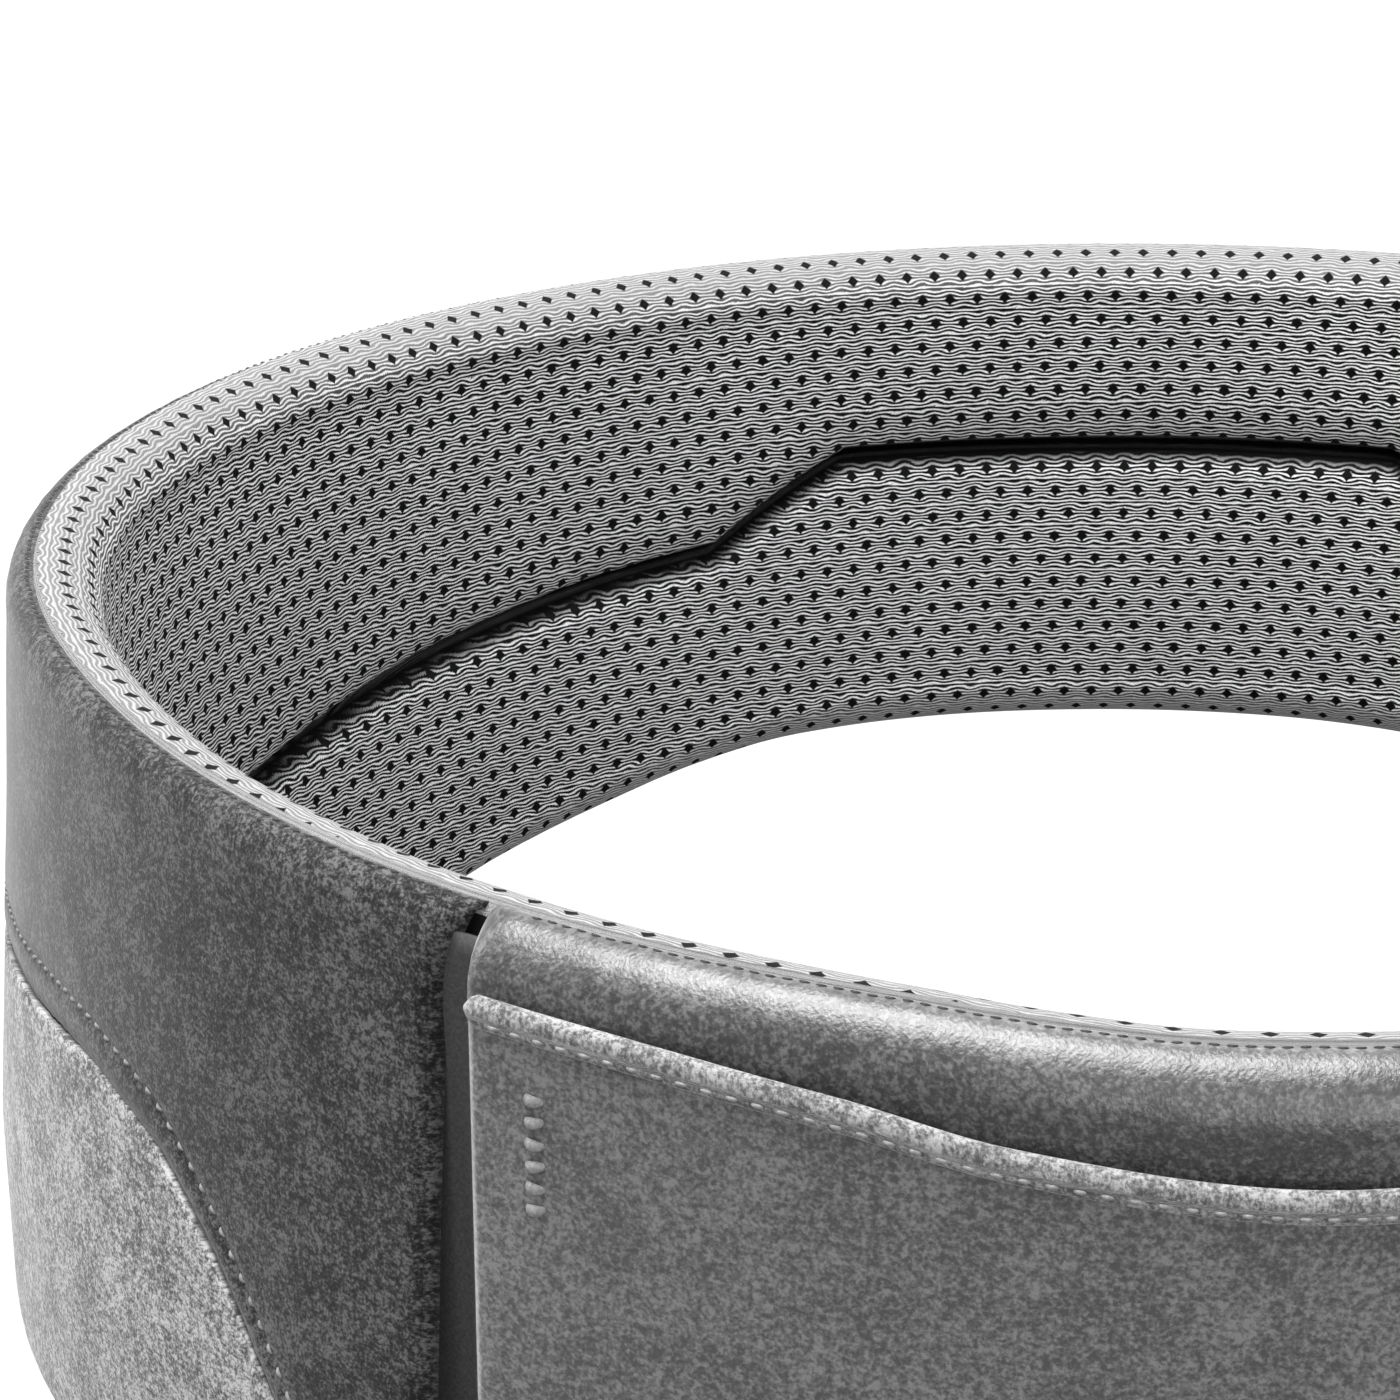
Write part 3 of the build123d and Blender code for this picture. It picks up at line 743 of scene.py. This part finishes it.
def pocket_sheet():
    """The pocket's face: sewn down at its sides and bottom, standing a little off at its mouth."""
    columns = np.linspace(FRONT - POCKET_HALF, FRONT + POCKET_HALF, 170)
    t = np.linspace(0, 1, 70)[None, :]
    a = across_rows(columns, 70)
    top = pocket_mouth(columns)[:, None] - 1.4
    height = POCKET_BOTTOM + (top - POCKET_BOTTOM) * t
    side = from_pocket_side(a)
    sewn = np.minimum(side, height - POCKET_BOTTOM)
    radius = POCKET_IN + STAND_OFF - seam_dip(sewn, 0.6, 0.9) + 0.5 * ramp(side, 0, 40) * t
    radius = radius + 0.25 * ripple(a, height, 9.0) * ramp(sewn, 0, 12)
    return surface("pocket_panel_cloth", a, radius, height, (arc_length(a, POCKET_IN), height))


dress(thicken(pocket_sheet(), 0.8), "heather_dark", POCKET, stands_for=("pocket_panel",))


def hem_roll():
    """The folded hem along the pocket's mouth: a flattened tube."""
    columns = np.linspace(FRONT - POCKET_HALF, FRONT + POCKET_HALF, 220)
    turns = np.linspace(0, 2 * math.pi, 20, endpoint=False)[None, :]
    a = across_rows(columns, 20)
    side = from_pocket_side(a)
    fade = np.sqrt(np.clip(side / 1.5, 0.05, 1))  # thins the tube towards its ends
    radius = POCKET_IN + STAND_OFF + 0.3 * ramp(side, 0, 40) + 1.15 * fade * np.cos(turns)
    height = pocket_mouth(columns)[:, None] - 1.85 + 1.95 * fade * np.sin(turns)
    points = ring_points(a, radius, height).reshape(-1, 3)
    index = np.arange(a.size).reshape(a.shape)
    faces = grid_faces(index, close_rows=True) + [index[0].tolist(), index[-1][::-1].tolist()]
    round_it = (turns + 0 * a).ravel() * 1.4
    flat = np.stack([arc_length(a, POCKET_IN).ravel(), round_it, 0 * a.ravel()], 1)
    return make_object("pocket_hem_roll", points.tolist(), faces, [("cloth", flat)])


dress(hem_roll(), "heather_light", HEM, stands_for=("pocket_hem",))


# ---------------------------------------------------------------- bound ends at the slit
def end_section(angle, outer, roll, flare):
    """Outline of the belt's end, radius and height in mm: down the pillows' faces, up the shell."""
    y = side_y(angle)
    low, high = float(bottom_at(y)), float(top_at(y))
    turn = np.linspace(0, math.pi / 2, 9)
    inside_top = [
        (WAIST + (SEAM - WAIST) * (1 - math.cos(t)), high - RIM + RIM * math.sin(t)) for t in turn[::-1]
    ]
    inside_low = [(r, low + high - z) for r, z in inside_top[::-1]]
    share = np.linspace(1, 0, 40)
    radius, height, _ = shell_profile(np.full(40, float(angle)), share, outer, roll, 0.0, flare)
    return np.array(inside_top + inside_low + list(zip(radius, height))[1:-1])


def end_binding(name, start, end, outer, roll, flare, pressed=None):
    """Tape round the belt's end: a thin rounded slab, a little proud of the cloth at its edge."""
    section = end_section((start + end) / 2, outer, roll, flare)
    centre = section.mean(0)
    steps = [(0.0, -1.1), (0.1, -0.2), (0.3, 0.35), (0.7, 0.35), (0.9, -0.2), (1.0, -1.1)]
    rings = []
    for share, proud in steps:
        spoke = section - centre
        ring = section + proud * spoke / np.linalg.norm(spoke, axis=1, keepdims=True)
        angle = np.full(len(ring), start + (end - start) * share)
        if pressed is not None:
            ring[:, 0] += pressed(angle, ring[:, 1]) * (np.minimum(ring[:, 0], PRESSED_TO) - ring[:, 0])
        rings.append(ring_points(angle, ring[:, 0], ring[:, 1]))
    points = np.concatenate(rings)
    index = np.arange(len(points)).reshape(len(steps), -1)
    faces = grid_faces(index, flip=True, close_rows=True) + [index[0][::-1].tolist(), index[-1].tolist()]
    return make_object(name, points.tolist(), faces)


TAPE_NEAR, TAPE_FAR = 0.4, 1.15  # degrees from the slit to the two faces of each tape
wing_tape = end_binding("wing_end_tape", RIGHT_MOUTH + TAPE_NEAR - 360, RIGHT_MOUTH + TAPE_FAR - 360,
                        OUTER + 0.3, SHELL_ROLL, FLARE, under_webbing)
front_tape = end_binding("front_end_tape", RIGHT_MOUTH - TAPE_FAR, RIGHT_MOUTH - TAPE_NEAR,
                         OUTER + 0.8, 7.0, 0.0)
dress(wing_tape, "binding", TAPE, stands_for=("end_binding_wing",))
dress(front_tape, "binding", TAPE, stands_for=("end_binding_front",))


# ---------------------------------------------------------------- stitching
BEAD_SIDES = 6
BEAD_RINGS = [  # place along a stitch, size and height above the cloth, each as a share of its half size
    (-1.0, 0.15, -0.6), (-0.75, 0.7, 0.0), (-0.3, 1.0, 0.5),
    (0.3, 1.0, 0.5), (0.75, 0.7, 0.0), (1.0, 0.15, -0.6),
]


def stitch_row(name, path, pitch, length, width, material, zigzag=0.0):
    """Separate stitches along a path of points in metres, each a small flattened bead sunk at its ends."""
    path = np.asarray(path, float)
    steps = np.linalg.norm(np.diff(path, axis=0), axis=1)
    reach = np.concatenate([[0], np.cumsum(steps)])
    count = int(reach[-1] / (pitch * MM))
    around = np.linspace(0, 2 * math.pi, BEAD_SIDES, endpoint=False)
    points, faces = [], []
    for k in range(count):
        at = (k + 0.5) * pitch * MM
        middle, before, after = [np.array([np.interp(at + d, reach, path[:, i]) for i in range(3)])
                                 for d in (0.0, -0.0003, 0.0003)]
        along = (after - before) / np.linalg.norm(after - before)
        out = middle * [1, 1, 0]
        out /= np.linalg.norm(out)
        out = out - along * out.dot(along)
        out /= np.linalg.norm(out)
        across = np.cross(out, along)
        if zigzag:
            turn = zigzag if k % 2 else -zigzag
            along = along * math.cos(turn) + across * math.sin(turn)
            across = np.cross(out, along)
        first = len(points)
        for place, size, proud in BEAD_RINGS:
            centre = middle + along * place * length / 2 * MM + out * proud * width / 2 * MM
            for t in around:
                offset = across * math.cos(t) + out * 0.7 * math.sin(t)
                points.append(centre + offset * size * width / 2 * MM)
        for i in range(len(BEAD_RINGS) - 1):
            for j in range(BEAD_SIDES):
                a, b = first + i * BEAD_SIDES + j, first + i * BEAD_SIDES + (j + 1) % BEAD_SIDES
                faces.append([a, b, b + BEAD_SIDES, a + BEAD_SIDES])
        last = first + BEAD_SIDES * (len(BEAD_RINGS) - 1)
        faces += [[first + j for j in reversed(range(BEAD_SIDES))], [last + j for j in range(BEAD_SIDES)]]
    row = make_object(name, [p.tolist() for p in points], faces)
    return dress(row, "thread", material)


def panel_line(panel, row_from, distance, inset=0):
    """A line on a shell panel, at a distance in mm from its first or last row."""
    grid, step = GRIDS[panel]
    rows = grid.shape[1]
    line = []
    for i in range(inset, len(grid) - inset):
        at = distance / max(step[i, 0], 1e-6)
        at = at if row_from == "first" else rows - 1 - at
        if not 0 <= at <= rows - 1:
            continue
        k = min(int(at), rows - 2)
        line.append(grid[i, k] * (1 - (at - k)) + grid[i, k + 1] * (at - k))
    return line


def rim_stitch(name, panel, pitch=2.0, inset=2):
    """The dark stitches just below the rim seam of a panel."""
    stitch_row(name, panel_line(panel, "first", 1.5, inset), pitch, 1.2, 0.6, THREAD_DARK)


for side in WINGS:
    accent_edge = panel_line(f"{side}_wing", "last", STITCH_ABOVE, 3)
    stitch_row(f"{side}_accent_stitch", accent_edge, 3.0, 1.5, 0.6, THREAD_LIGHT)
    rim_stitch(f"{side}_rim_stitch", f"{side}_wing")
rim_stitch("back_rim_stitch", "back_shell")
rim_stitch("front_rim_stitch", "front_cover", pitch=1.9, inset=4)


def pocket_line(drop, proud, inset=1.0):
    """A line along the pocket's mouth, a distance below its upper edge."""
    angle = np.linspace(FRONT - POCKET_HALF + inset, FRONT + POCKET_HALF - inset, 300)
    radius = POCKET_IN + STAND_OFF + 0.3 * ramp(from_pocket_side(angle), 0, 40) + proud
    return ring_points(angle, radius, pocket_mouth(angle) - drop)


stitch_row("hem_stitch", pocket_line(2.7, 1.02), 2.9, 1.6, 0.55, THREAD_LIGHT)


TACK_LOW, TACK_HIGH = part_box("bar_tacks")[0].z / MM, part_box("bar_tacks")[1].z / MM + 3
TACK_ANGLE = POCKET_HALF - 3.0


def tack_line(angle):
    """A short upright line on the pocket, where it is tacked to the belt."""
    height = np.linspace(TACK_LOW, TACK_HIGH, 30)
    return ring_points(np.full(30, angle), np.full(30, POCKET_IN + 1.05), height)


left_tack = stitch_row("left_bar_tack", tack_line(FRONT - TACK_ANGLE), 2.6, 2.7, 1.5, THREAD_LIGHT, 1.45)
stitch_row("right_bar_tack", tack_line(FRONT + TACK_ANGLE), 2.6, 2.7, 1.5, THREAD_LIGHT, 1.45)
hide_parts("bar_tacks")

# ---------------------------------------------------------------- carried-over CAD nodes
CAD_FINISH = {
    "lumbar_stiffener": INNER, "pocket_gusset": INNER, "anchor_patch": TAPE,
    "webbing_front": WEBBING, "webbing_tail": WEBBING, "webbing_rear": WEBBING,
    "buckle_socket": MOULDED, "buckle_plug": MOULDED, "prong_upper": MOULDED, "prong_lower": MOULDED,
}
for node, material in CAD_FINISH.items():
    nodes[node].data.materials.clear()
    nodes[node].data.materials.append(material)

# ---------------------------------------------------------------- stage, light and camera
bpy.ops.mesh.primitive_plane_add(size=6.0, location=(0, 0, -0.0005))
floor = bpy.context.object
floor.name = "floor"
s = Shader("pale_floor")
s.surface.inputs["Emission Color"].default_value = (1, 1, 1, 1)
s.surface.inputs["Emission Strength"].default_value = 0.92
floor.data.materials.append(s.finish((0.1, 0.1, 0.1, 1), 0.9, 0.0, 0.1))
floor.visible_diffuse = False
floor.visible_glossy = False

world = bpy.data.worlds.new("studio")
bpy.context.scene.world = world
world.use_nodes = True
world.node_tree.nodes["Background"].inputs["Color"].default_value = (1, 1, 1, 1)
world.node_tree.nodes["Background"].inputs["Strength"].default_value = 0.4


def softbox(name, place, size, power):
    """A square area light that looks at the belt."""
    light = bpy.data.lights.new(name, "AREA")
    light.size = size
    light.energy = power
    lamp = bpy.data.objects.new(name, light)
    lamp.location = place
    lamp.rotation_euler = (LIT_POINT - Vector(place)).to_track_quat("-Z", "Y").to_euler()
    bpy.context.scene.collection.objects.link(lamp)


LIT_POINT = Vector((0, 0, 0.05))
softbox("overhead", (-0.25, -0.05, 1.5), 1.0, 42)
softbox("left", (-1.5, 0.25, 0.8), 0.8, 12)
softbox("fill", (0.5, -1.7, 0.7), 1.2, 13)
softbox("behind", (0.7, 1.6, 0.8), 1.2, 14)

camera_data = bpy.data.cameras.new("camera")
camera_data.lens = 108.5
camera_data.sensor_width = 36.0
camera_data.clip_start = 0.01
camera = bpy.data.objects.new("camera", camera_data)
camera.location = (-0.0526, -0.5607, 0.2748)
CAMERA_YAW, CAMERA_PITCH, CAMERA_ROLL = -0.0285, 0.337, -0.006


def aim(yaw, pitch, roll):
    """The camera's turn from its bearing, how far it looks down, and its tilt, in radians."""
    turn = Euler((math.pi / 2 - pitch, 0, -yaw)).to_quaternion()
    return (turn @ Euler((0, 0, roll)).to_quaternion()).to_euler()


camera.rotation_euler = aim(CAMERA_YAW, CAMERA_PITCH, CAMERA_ROLL)
bpy.context.scene.collection.objects.link(camera)
bpy.context.scene.camera = camera
bpy.context.scene.view_settings.view_transform = "Standard"
